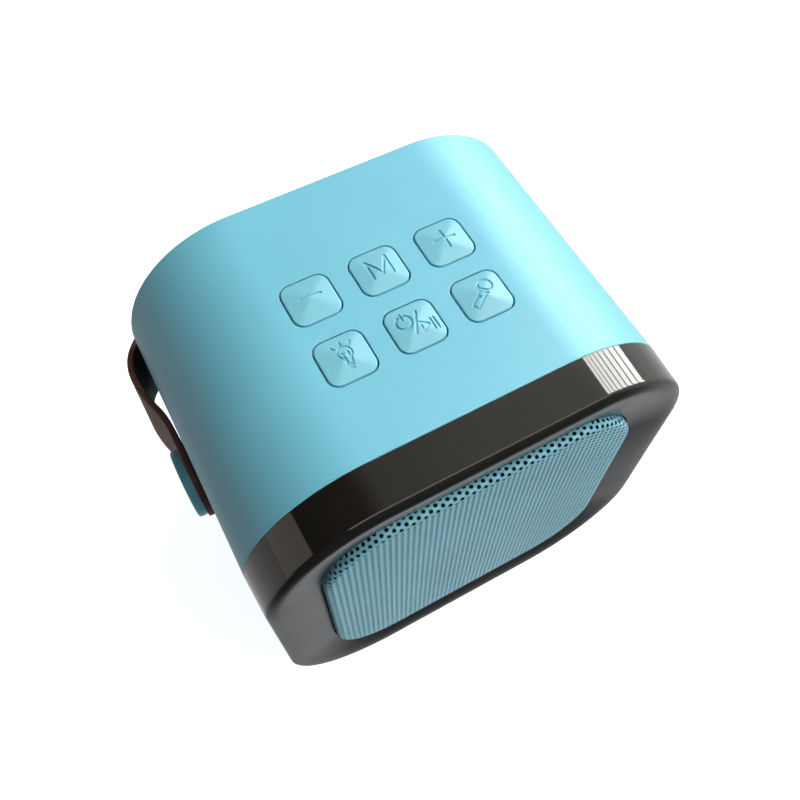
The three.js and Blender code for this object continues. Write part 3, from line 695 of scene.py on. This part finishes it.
def build_grille():
    """A perforated sheet pressed into a pan: the holes run over the bend and down the sides."""
    flat, triangles, edges, rim = flat_sheet()
    count = len(flat)
    verts = np.vstack([bent(flat, 0), bent(flat, SHEET)])
    faces = triangles.tolist() + (triangles[:, ::-1] + count).tolist()
    bore_shade_start = len(faces) + rim
    faces += [(a, b, b + count, a + count) for a, b in edges]
    grille = make("perforated_grille", verts, faces, MATERIALS["grille"], 30, weighted=False)
    # The walls of the holes take the darker copy of the coating: painted shade inside the holes.
    grille.data.materials.append(GRILLE_HOLE_SHADE)
    for polygon in grille.data.polygons[bore_shade_start:]:
        polygon.material_index = 1
    weld(grille)
    settle(grille, "chassis", "grille")


# ---- back and underside -------------------------------------------------------------------------
CORNERS = ("top_left", "top_right", "bottom_left", "bottom_right")
# Width, height and corner radius of each port's opening.
PORTS = {
    "usb_c_socket": (10.2, 4.4, 2.15),
    "card_socket": (14, 3, 1),
    "aux_socket": (6.6, 6.6, 3.28),
}
PORT_EDGE = 0.4         # easing of a port's opening
PORT_DEPTH = 5          # of its cutter, well through the cover
COVER_EDGE = 0.5        # easing round the cover
COVER_THICK = 2.4
WELL_RADIUS = 3.1       # of the recess round a rear screw
WELL_DEPTH = 1.3
WELL_EDGE = 0.25
FOOT_EDGE = 0.5         # rounding round a foot
FOOT_HOLLOW = 0.25      # depth of the hollow in the middle of a foot


def eased(size):
    """A profile's last steps up to a face with an eased edge, as (sideways, along)."""
    return [(0, -size), (0.3 * size, -0.3 * size), (size, 0)]


def port_cutter(node):
    cx, _, cz = local_centre(node)
    wide, high, radius = PORTS[node]
    loops = []
    for grow, along in [(0, -PORT_DEPTH), *eased(PORT_EDGE), (PORT_EDGE, PAST)]:
        ring = rounded(wide + 2 * grow, high + 2 * grow, radius + grow, 8)
        loops.append([(cx + u, COVER_FACE + along, cz + v) for u, v in ring])
    return cutter(loops)


def screw_well_cutter(node):
    cx, _, cz = local_centre(node)
    wide = WELL_RADIUS + WELL_EDGE
    profile = [(WELL_RADIUS, -WELL_DEPTH), (WELL_RADIUS, -WELL_EDGE), (wide, 0), (wide, PAST)]
    loops = []
    for radius, along in profile:
        ring = arc_points((cx, cz), radius, 0, 360, 40)[:-1]
        loops.append([(x, COVER_FACE + along, z) for x, z in ring])
    return cutter(loops)


def build_cover():
    """The rear cover: a flat plate with an eased edge, port openings and screw wells."""
    profile = [(0, -COVER_THICK), *eased(COVER_EDGE)]
    profile = [(WALL + FIT + inset, COVER_FACE + along) for inset, along in profile]
    verts, faces = skin(frame_loops(profile, 32))
    cover = make("back_cover", verts, faces, MATERIALS["shell"])
    weld(cover)
    ports = [port_cutter(node) for node in PORTS]
    carve(cover, ports + [screw_well_cutter(f"rear_screw_{corner}") for corner in CORNERS])
    settle(cover, "chassis", "rear_cover")


def build_feet():
    for side in ("left", "right"):
        for end in ("front", "rear"):
            node = f"foot_{end}_{side}"
            low, high = local_box(node)
            x, y, _ = local_centre(node)
            tall, radius = high.z - low.z, (high.x - low.x) / 2
            flat = radius - FOOT_EDGE
            profile = [(0, FOOT_HOLLOW), (radius * 0.45, FOOT_HOLLOW), (radius * 0.55, 0), (flat, 0)]
            profile += arc_points((flat, FOOT_EDGE), FOOT_EDGE, -80, 0, 5)
            profile += [(radius, tall), (0, tall)]
            name = f"rubber_foot_{end}_{side}"
            foot = turned(name, profile, "z", (x, y, low.z), MATERIALS["rubber"], 48)
            settle(foot, "chassis", node)


# ---- screws -------------------------------------------------------------------------------------
SHANK = 0.95            # radius
HEAD_RIM = 0.3          # share of the head's height that its straight rim takes
CROSS_REACH = 0.62      # half length of each arm of the cross, as a share of the head's radius
CROSS_HALF = 0.14       # half width of the same
CROSS_DEPTH = 0.6       # share of the head's height
CROSS_TAPER = 0.55      # size of the cross at its bottom against its top


def screw_profile(head_radius, head_height, length):
    """Half the section of a pan-head screw, from the tip of its shank to the top of its head."""
    profile = [(0, -length), (SHANK * 0.6, -length), (SHANK, -length + SHANK), (SHANK, 0)]
    profile += [(head_radius, 0)]
    for turn in np.linspace(0, math.pi / 2, 7, endpoint=False):
        height = head_height * (HEAD_RIM + (1 - HEAD_RIM) * math.sin(turn))
        profile.append((head_radius * math.cos(turn), height))
    return profile + [(0, head_height)]


def slot_cutter(top, along, half):
    """One arm of a cross recess: a box about the point top, narrower on its inner side. The half
    sizes are signed outwards on the screw's own axis."""
    across, upright = [k for k in range(3) if k != along]
    loops = []
    for level, taper in ((-1, CROSS_TAPER), (1, 1)):
        ring = []
        for a, b in ((1, 1), (-1, 1), (-1, -1), (1, -1)):
            corner = top[:]
            corner[across] += a * half[across] * taper
            corner[upright] += b * half[upright] * taper
            corner[along] += level * half[along]
            ring.append(tuple(corner))
        loops.append(ring)
    return cutter(loops)


def build_screw(name, node, axis, outward, head_radius, head_height, length):
    """A pan-head screw with a cross recess, its head's top where the CAD screw's is."""
    low, high = local_box(node)
    along = "xyz".index(axis)
    top = list(local_centre(node))
    top[along] = (high if outward > 0 else low)[along]
    under = top[:]
    under[along] -= outward * head_height
    profile = [(r, outward * a) for r, a in screw_profile(head_radius, head_height, length)]
    screw = turned(name, profile, axis, under, MATERIALS["steel"], 32)
    across, upright = [k for k in range(3) if k != along]
    cutters = []
    for longer, shorter in ((across, upright), (upright, across)):
        half = [0, 0, 0]
        half[longer] = head_radius * CROSS_REACH
        half[shorter] = head_radius * CROSS_HALF
        half[along] = outward * head_height * CROSS_DEPTH
        cutters.append(slot_cutter(top, along, half))
    carve(screw, cutters)
    settle(screw, "chassis", node)


# ---- strap --------------------------------------------------------------------------------------
STRAP_THICK = 1.55
STRAP_EDGE = 0.5        # rounding along its edges
STRAP_STEPS = 321       # cross-sections along the whole strap
TONGUE_RADIUS = 9.3
TONGUE_START = 47       # y at which the strap starts to narrow to its tongue
TONGUE_CUT = 0.02       # cut flat off the round end, so that it has no point
INNER_SHADE_REACH = 0.2             # how far the painted shade of the inner side reaches round the strap's edges

# Half of the strap's middle line seen from above, at its upper and at its lower edge: it leans
# outwards towards the lower edge where it leaves the side. The other half mirrors it.
STRAP_UPPER = [
    (-53.025, 22), (-53.025, 32), (-53.03, 41), (-53.4, 45.2), (-54.5, 49.3), (-55.45, 53),
    (-55.95, 57.5), (-55.6, 61.5), (-54, 65.3), (-50.5, 69.1), (-45.5, 72), (-37, 75),
    (-20, 78.4), (0, 79.5),
]
STRAP_LOWER = [
    (-53.025, 22), (-53.025, 32), (-53.06, 40), (-54.4, 44.4), (-55.7, 48.6), (-56.7, 53),
    (-57.1, 57.5), (-56.8, 61.5), (-54.8, 65.6), (-50.7, 69.5), (-45.5, 72.4), (-37, 75.25),
    (-20, 78.5), (0, 79.5),
]


def catmull(points, steps):
    """A uniform Catmull-Rom curve through the points, sampled evenly along its length."""
    points = np.array(points, float)
    padded = np.vstack([2 * points[0] - points[1], points, 2 * points[-1] - points[-2]])
    samples = []
    for k in range(1, len(padded) - 2):
        a, b, c, d = padded[k - 1:k + 3]
        squared, cubed = 2 * a - 5 * b + 4 * c - d, 3 * b - a - 3 * c + d
        for t in np.linspace(0, 1, 24, endpoint=False):
            samples.append(0.5 * (2 * b + (c - a) * t + squared * t**2 + cubed * t**3))
    samples.append(points[-1])
    samples = np.array(samples)
    length = np.concatenate([[0], np.cumsum(np.linalg.norm(np.diff(samples, axis=0), axis=1))])
    at = np.linspace(0, length[-1], steps)
    return np.stack([np.interp(at, length, samples[:, k]) for k in range(samples.shape[1])], -1)


def strap_edge(half):
    """A whole edge line and its outward normals, from the left button round to the right one."""
    line = catmull(half + [(-x, y) for x, y in half[-2::-1]], STRAP_STEPS)
    tangent = np.gradient(line, axis=0)
    tangent /= np.linalg.norm(tangent, axis=1)[:, None]
    return line, np.stack([-tangent[:, 1], tangent[:, 0]], -1)


def tongue_half_height(y, half_height, button_y):
    """Half the strap's height at y: full at the back, then straight flanks, then a round end."""
    run = TONGUE_START - button_y
    touch = math.atan2(half_height, run) + math.acos(TONGUE_RADIUS / math.hypot(run, half_height))
    touch_y = button_y + TONGUE_RADIUS * math.cos(touch)
    touch_height = TONGUE_RADIUS * math.sin(touch)
    if y >= TONGUE_START:
        return half_height
    if y >= touch_y:
        share = (y - touch_y) / (TONGUE_START - touch_y)
        return touch_height + share * (half_height - touch_height)
    return math.sqrt(TONGUE_RADIUS**2 - (y - button_y)**2)


def strap_section(half_height):
    """The strap's cross-section, as (outwards, upwards) points."""
    return rounded(STRAP_THICK, 2 * half_height, min(STRAP_EDGE, half_height * 0.6), 5)


def strap_loops():
    """The strap's cross-sections, from the tip of one tongue to the tip of the other."""
    low, high = local_box("strap")
    middle, reach = (low.z + high.z) / 2, (high.z - low.z) / 2
    button_y = local_centre("strap_button_left").y
    tip = button_y - TONGUE_RADIUS + TONGUE_CUT
    upper, upper_out = strap_edge(STRAP_UPPER)
    lower, lower_out = strap_edge(STRAP_LOWER)
    loops = []
    for k in range(STRAP_STEPS):
        ring = []
        for u, v in strap_section(tongue_half_height(max(upper[k][1], tip), reach, button_y)):
            share = 0.5 - v / (2 * reach)
            place = upper[k] * (1 - share) + lower[k] * share
            out = upper_out[k] * (1 - share) + lower_out[k] * share
            x, y = place + out * u
            ring.append((x, max(y, tip), middle + v))
        loops.append(ring)
    first = next(k for k in range(STRAP_STEPS) if upper[k][1] > tip)
    return loops[first:STRAP_STEPS - first]


def build_strap():
    """The leather strap: a round tongue under each button, then round the corner and across the back.
    Its inner side is near-black: painted shade where it faces the case."""
    loops = strap_loops()
    verts, faces = skin(loops)
    strap = make("leather_strap", verts, faces, MATERIALS["leather"], 60, weighted=False)
    # The inner side takes near-black leather: painted shade between strap and case.
    strap.data.materials.append(STRAP_INNER_SHADE)
    count = len(loops[0])
    # The same points of every section are on the inner side, whatever its height.
    inner = {i for i, (u, _) in enumerate(strap_section(10)) if u < -STRAP_THICK / 2 + INNER_SHADE_REACH}
    shaded_faces = {i for i in inner if (i + 1) % count in inner}
    for number, polygon in enumerate(strap.data.polygons[:(len(loops) - 1) * count]):
        polygon.material_index = int(number % count in shaded_faces)
    settle(strap, "chassis", "strap")


BUTTON_EDGE = 0.7
BUTTON_BORE = 1.5       # radius of the screw's hole
BUTTON_WELL = 2.9       # radius of the recess round the screw's head
BUTTON_WELL_DEPTH = 1.3
BUTTON_WELL_EDGE = 0.2


def build_button(name, side):
    """A round button that clamps one end of the strap, with its screw in a well."""
    node = f"strap_button_{name}"
    low, high = local_box(node)
    inner, outer = (high.x, low.x) if side < 0 else (low.x, high.x)
    _, y, z = local_centre(node)
    radius = (high.y - low.y) / 2
    floor = outer - side * BUTTON_WELL_DEPTH
    profile = [(BUTTON_BORE, inner), (radius, inner)]
    for out, up in arc_points((radius - BUTTON_EDGE, -BUTTON_EDGE), BUTTON_EDGE, 0, 90, 6):
        profile.append((out, outer + side * up))
    profile += [(BUTTON_WELL + BUTTON_WELL_EDGE, outer), (BUTTON_WELL, outer - side * BUTTON_WELL_EDGE)]
    profile += [(BUTTON_WELL, floor), (BUTTON_BORE, floor), (BUTTON_BORE, inner)]
    button = turned(f"strap_fastener_{name}", profile, "x", (0, y, z), MATERIALS["shell"], 72)
    settle(button, "chassis", node)
    screw, screw_node = f"fastener_screw_{name}", f"strap_screw_{name}"
    build_screw(screw, screw_node, "x", side, head_radius=2.6, head_height=0.8, length=6.5)


# ---- carried-over CAD nodes ---------------------------------------------------------------------
def dress_nodes():
    """Every CAD node that stays visible takes the procedural material of its slot."""
    slots = {row["node"]: row["material_slot"] for row in frame["record"]["subparts"]}
    for name, obj in frame["nodes"].items():
        obj.data.materials.clear()
        obj.data.materials.append(MATERIALS[slots[name]])


# ---- stage, in metres ---------------------------------------------------------------------------
SLATS = 8               # bright slats of the window's blind
SLAT_GAP = 0.22         # share of a slat's pitch that stays dark
SLAT_GLOW = 12.5        # the slats in reflections
PANE_GLOW = 0.45        # the same window as it lights the object
STRIP_GLOW = 1.7        # the strip that draws the line on the bezel's edge
SOFTBOX_GLOW = 6.7
CARD_GLOW = 0.7
FLOOR_GLOW = 0.86
SKY = (0.05, 0.9)       # the room's light at the left and at the right
TABLE = (0.5, 0.78)     # the same for the table top


def panel(name, corner, edge_a, edge_b, material):
    """A flat rectangle of the stage, from one corner and its two edges."""
    a, b, c = Vector(corner), Vector(edge_a), Vector(edge_b)
    made = mesh_object(name, [a, a + b, a + b + c, a + c], [(0, 1, 2, 3)])
    made.data.materials.append(material)
    return made


def glow(name, color, strength):
    material = bpy.data.materials.new(name)
    material.use_nodes = True
    tree = material.node_tree
    tree.nodes.clear()
    emission = tree.nodes.new("ShaderNodeEmission")
    emission.inputs["Color"].default_value = (*color, 1)
    emission.inputs["Strength"].default_value = strength
    output = tree.nodes.new("ShaderNodeOutputMaterial")
    tree.links.new(emission.outputs["Emission"], output.inputs["Surface"])
    return material


def only_reflected(obj):
    obj.visible_camera = False
    obj.visible_diffuse = False


def only_lighting(obj):
    obj.visible_camera = False
    obj.visible_glossy = False


def only_in_view(obj):
    obj.visible_diffuse = False
    obj.visible_glossy = False
    obj.visible_transmission = False
    obj.visible_shadow = False


def build_window():
    """A window with a blind on the right: bright horizontal slats with dark gaps between them, seen
    in reflections, and a plain pane of the same size that does the lighting."""
    x, y, low, high = 1.0, -0.15, 0.31, 1.40
    along = (0, 1.0, 0)
    pitch = (high - low) / SLATS
    tall = (0, 0, pitch * (1 - SLAT_GAP))
    light = glow("window_light", (0.93, 0.97, 1.0), SLAT_GLOW)
    for k in range(SLATS):
        only_reflected(panel(f"window_slat_{k}", (x, y, low + k * pitch), along, tall, light))
    glass = glow("window_pane_light", (1.0, 0.99, 0.97), PANE_GLOW)
    only_lighting(panel("window_pane", (x + 0.01, y, low), along, (0, 0, high - low), glass))


def build_flag():
    """A black card in front, seen only in reflections: the unlit side of the room."""
    black, *_ = shader("black_card", (0.004, 0.004, 0.004), 1.0)
    flag = panel("front_flag", (-0.45, -0.30, -0.48), (0.77, 0, 0), (0, 0, 0.83), black)
    only_reflected(flag)
    flag.visible_shadow = False


def build_strip_light():
    """A strip overhead, seen only in reflections, that draws the bright line on the bezel's edge."""
    light = glow("strip_light", (1.0, 0.97, 0.92), STRIP_GLOW)
    only_reflected(panel("overhead_strip", (-0.8, -1.75, 1.5), (2.2, 0, 0), (0, 1.15, 0), light))


def build_softbox():
    """A broad soft light above and in front of the right half; it lights but isn't mirrored."""
    light = glow("softbox_light", (0.97, 1.0, 0.98), SOFTBOX_GLOW)
    only_lighting(panel("softbox", (0.3, -0.9, 1.0), (0.95, 0, 0), (0, 1.2, 0), light))


def build_left_card():
    """A pale card on the left, seen only in reflections, that veils the shaded side."""
    light = glow("left_card_light", (1.0, 0.97, 0.94), CARD_GLOW)
    only_reflected(panel("left_card", (-1.0, -0.5, 0.0), (0, 1.2, 0), (0, 0, 0.6), light))


def build_floor():
    """A white floor that catches a faint shadow, with a white surround on its four sides."""
    material, tree, principled = shader("studio_floor", (0.8, 0.8, 0.8), 1.0)
    principled.inputs["Emission Color"].default_value = (1, 1, 1, 1)
    principled.inputs["Emission Strength"].default_value = FLOOR_GLOW
    tone = texture(tree, 3, detail=2)
    tint(tree, tone.outputs["Fac"], principled, (0.78, 0.78, 0.78), (0.82, 0.82, 0.82))
    half, height = 3, 4
    only_in_view(panel("floor", (-half, -half, 0), (2 * half, 0, 0), (0, 2 * half, 0), material))
    white = glow("surround_white", (1, 1, 1), 1.0)
    around = [(-half, -half), (half, -half), (half, half), (-half, half)]
    for k, (x, y) in enumerate(around):
        nx, ny = around[(k + 1) % 4]
        edge = (nx - x, ny - y, 0)
        only_in_view(panel(f"surround_{k}", (x, y, -0.01), edge, (0, 0, height), white))


def ramp_along(tree, source, low, high, at_low, at_high):
    """A smooth change of value between two places along one direction."""
    node = tree.nodes.new("ShaderNodeMapRange")
    node.interpolation_type = "SMOOTHSTEP"
    node.inputs["From Min"].default_value = low
    node.inputs["From Max"].default_value = high
    node.inputs["To Min"].default_value = at_low
    node.inputs["To Max"].default_value = at_high
    tree.links.new(source, node.inputs["Value"])
    return node.outputs["Result"]


def build_world():
    """A dim room: its light falls off towards the left, and a pale table top fills the lower half."""
    world = bpy.data.worlds.new("studio")
    bpy.context.scene.world = world
    world.use_nodes = True
    tree = world.node_tree
    place = tree.nodes.new("ShaderNodeTexCoord")
    split = tree.nodes.new("ShaderNodeSeparateXYZ")
    tree.links.new(place.outputs["Generated"], split.inputs["Vector"])
    blend = tree.nodes.new("ShaderNodeMix")
    sky = ramp_along(tree, split.outputs["X"], -0.25, 0.65, *SKY)
    table = ramp_along(tree, split.outputs["X"], -0.6, 0.3, *TABLE)
    below = ramp_along(tree, split.outputs["Z"], -0.12, -0.04, 1.0, 0.0)
    tree.links.new(below, blend.inputs["Factor"])
    tree.links.new(sky, blend.inputs["A"])
    tree.links.new(table, blend.inputs["B"])
    background = tree.nodes["Background"]
    background.inputs["Color"].default_value = (0.96, 0.98, 1.0, 1)
    tree.links.new(blend.outputs["Result"], background.inputs["Strength"])


def build_stage():
    build_floor()
    build_window()
    build_flag()
    build_strip_light()
    build_softbox()
    build_left_card()
    build_world()
    bpy.context.scene.view_settings.view_transform = "Standard"


CAMERA_PLACE = (-46.38, -56.57, 242.5)      # in the case's millimetres
CAMERA_RIGHT = (0.87922, -0.47642, 0.00147)
CAMERA_FORWARD = (0.22511, 0.41272, -0.8826)
LENS = 36.88


def build_camera():
    """Above and in front of the left half, turned a little about its own line of sight."""
    data = bpy.data.cameras.new("camera")
    data.sensor_width = 36
    data.lens = LENS
    data.clip_start = 0.01
    camera = bpy.data.objects.new("camera", data)
    bpy.context.scene.collection.objects.link(camera)
    camera.location = ORIGIN + Vector(CAMERA_PLACE) * MM
    right, forward = Vector(CAMERA_RIGHT), Vector(CAMERA_FORWARD)
    turn = Matrix((right, right.cross(forward), -forward)).transposed()
    camera.rotation_euler = turn.to_euler()
    bpy.context.scene.camera = camera


build_camera()
build_stage()
dress_nodes()
build_shell()
for key in KEY_NAMES:
    build_key(key)
build_bezel()
build_grille()
build_cover()
for corner in CORNERS:
    screw, node = f"cover_screw_{corner}", f"rear_screw_{corner}"
    build_screw(screw, node, "y", 1, head_radius=2.7, head_height=1.1, length=9)
build_feet()
build_strap()
build_button("left", -1)
build_button("right", 1)
